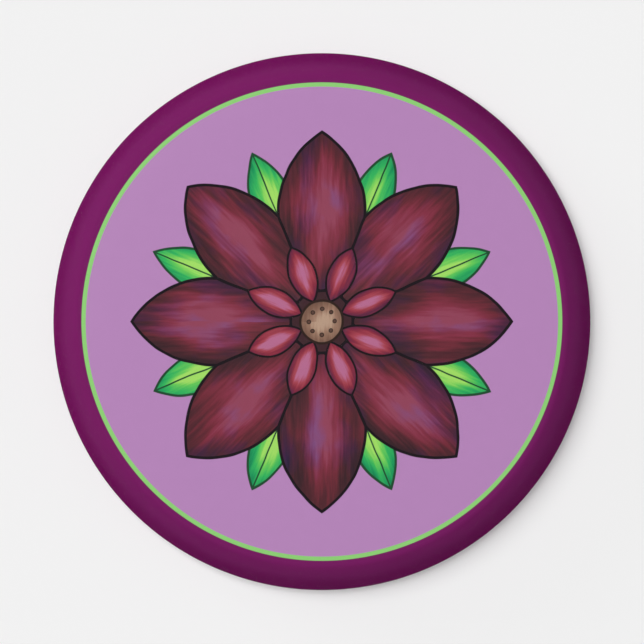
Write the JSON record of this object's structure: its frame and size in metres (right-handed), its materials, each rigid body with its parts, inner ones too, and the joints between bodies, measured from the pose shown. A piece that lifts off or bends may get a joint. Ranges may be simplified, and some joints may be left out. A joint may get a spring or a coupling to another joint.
{
  "type": "round fridge magnet",
  "caption": "Round button fridge magnet: a printed disc under clear film on a domed steel cap, with a steel back plate and a ferrite disc on its back.",
  "frame": {"origin": "centre of the magnet's flat back face, on the surface that it sticks to or lies on", "axes": "+Z out of the printed face along the disc's axis, +Y towards the top of the printed design"},
  "size_m": [0.0572, 0.0572, 0.0068],
  "materials": {
    "clear_film": "clear satin polyester film",
    "printed_paper": "matt printed paper in lilac and dark purple with a green pinstripe",
    "tinplate": "rolled tinplate with a soft sheen",
    "foam": "off-white closed-cell foam tape",
    "ferrite": "dark grey sintered ferrite, ground flat"
  },
  "bodies": {
    "root": {"clear_film": "clear_film", "printed_paper": "printed_paper", "steel_cap": "tinplate", "back_plate": "tinplate", "foam_tape": "foam", "disc_magnet": "ferrite"}
  },
  "joints": []
}
